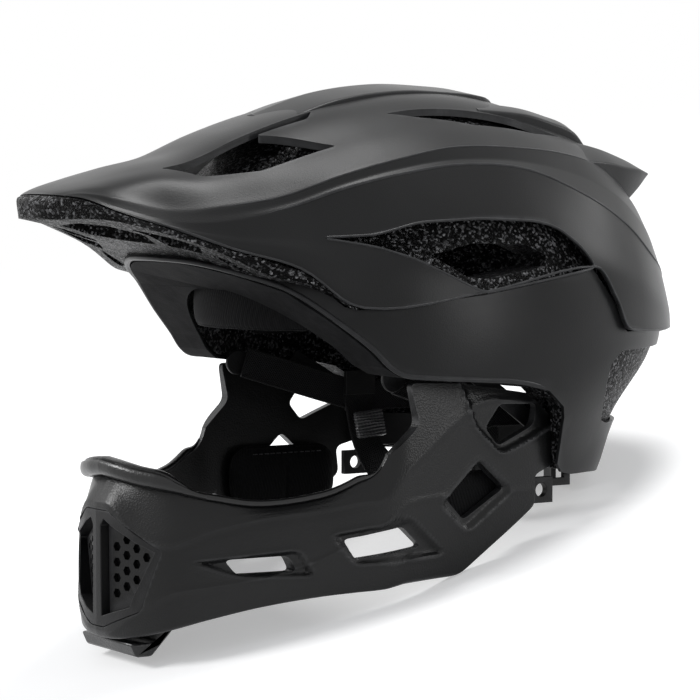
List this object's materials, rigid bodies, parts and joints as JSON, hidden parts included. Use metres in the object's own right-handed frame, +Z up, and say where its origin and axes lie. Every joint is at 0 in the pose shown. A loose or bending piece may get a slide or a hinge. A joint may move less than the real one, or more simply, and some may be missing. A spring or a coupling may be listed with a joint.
{
  "type": "full face bicycle helmet",
  "caption": "Full face downhill bicycle helmet with an integral peak, a removable vented chin guard, foam liner, pads, straps and a nape fit dial.",
  "frame": {"origin": "bottom centre of the helmet's bounding box, as it stands on a flat surface on its jaw and nape", "axes": "+Z up, +Y towards the back of the helmet, +X towards the wearer's left"},
  "size_m": [0.208, 0.334, 0.2163],
  "materials": {
    "shell": "satin",
    "foam": "matte",
    "trim": "matte",
    "screen": "matte",
    "rubber": "matte",
    "pad": "matte",
    "webbing": "matte",
    "buckle": "satin",
    "dial": "satin"
  },
  "bodies": {
    "helmet": {"upper_shell": "shell", "lower_shell": "shell", "upper_foam": "foam", "lower_foam": "foam", "brow_pad": "pad", "crown_pads": "pad", "pleated_strap_pad": "pad", "buckle_socket": "buckle", "buckle_clip": "buckle", "strap_anchors": "buckle", "latch_housing_left": "trim", "latch_housing_right": "trim", "temple_pad_left": "pad", "temple_pad_right": "pad", "side_strap_left": "webbing", "side_strap_right": "webbing", "chin_strap_left": "webbing", "chin_strap_right": "webbing", "strap_divider_left": "buckle", "strap_divider_right": "buckle", "fit_band_left": "trim", "fit_band_right": "trim"},
    "chin_guard": {"chin_guard": "shell", "mouth_vent_frame": "trim", "mouth_vent_screen_left": "screen", "mouth_vent_screen_right": "screen", "lip_bumper": "rubber", "jaw_edge_trim": "rubber", "chin_scoop": "trim", "latch_tongue_left": "trim", "latch_tongue_right": "trim", "jaw_pad_left": "pad", "jaw_pad_right": "pad"},
    "release_tab_left": {"release_tab_left": "trim"},
    "release_tab_right": {"release_tab_right": "trim"},
    "fit_cradle": {"fit_cradle": "trim", "dial_housing": "dial"},
    "fit_dial": {"fit_dial": "dial"}
  },
  "joints": [
    {"name": "chin_guard_slide", "type": "slide", "parent": "helmet", "child": "chin_guard", "axis": [0, -0.9557, 0.2942], "range_m": [0, 0.06]},
    {"name": "release_tab_left_slide", "type": "slide", "parent": "helmet", "child": "release_tab_left", "axis": [0, -0.2942, -0.9557], "range_m": [0, 0.004], "stiffness_N_per_m": 900, "springref_m": -0.001},
    {"name": "release_tab_right_slide", "type": "slide", "parent": "helmet", "child": "release_tab_right", "axis": [0, -0.2942, -0.9557], "range_m": [0, 0.004], "stiffness_N_per_m": 900, "springref_m": -0.001},
    {"name": "fit_cradle_slide", "type": "slide", "parent": "helmet", "child": "fit_cradle", "axis": [0, -0.9557, 0.2942], "range_m": [0, 0.01]},
    {"name": "fit_dial_turn", "type": "hinge", "parent": "fit_cradle", "child": "fit_dial", "pos_m": [0, 0.09698, 0.01354], "axis": [0, 0.9557, -0.2942], "range_deg": [0, 240]}
  ],
  "couplings": [
    {"joint": "fit_dial_turn", "follows": "fit_cradle_slide", "rad_per_m": 418.88}
  ]
}
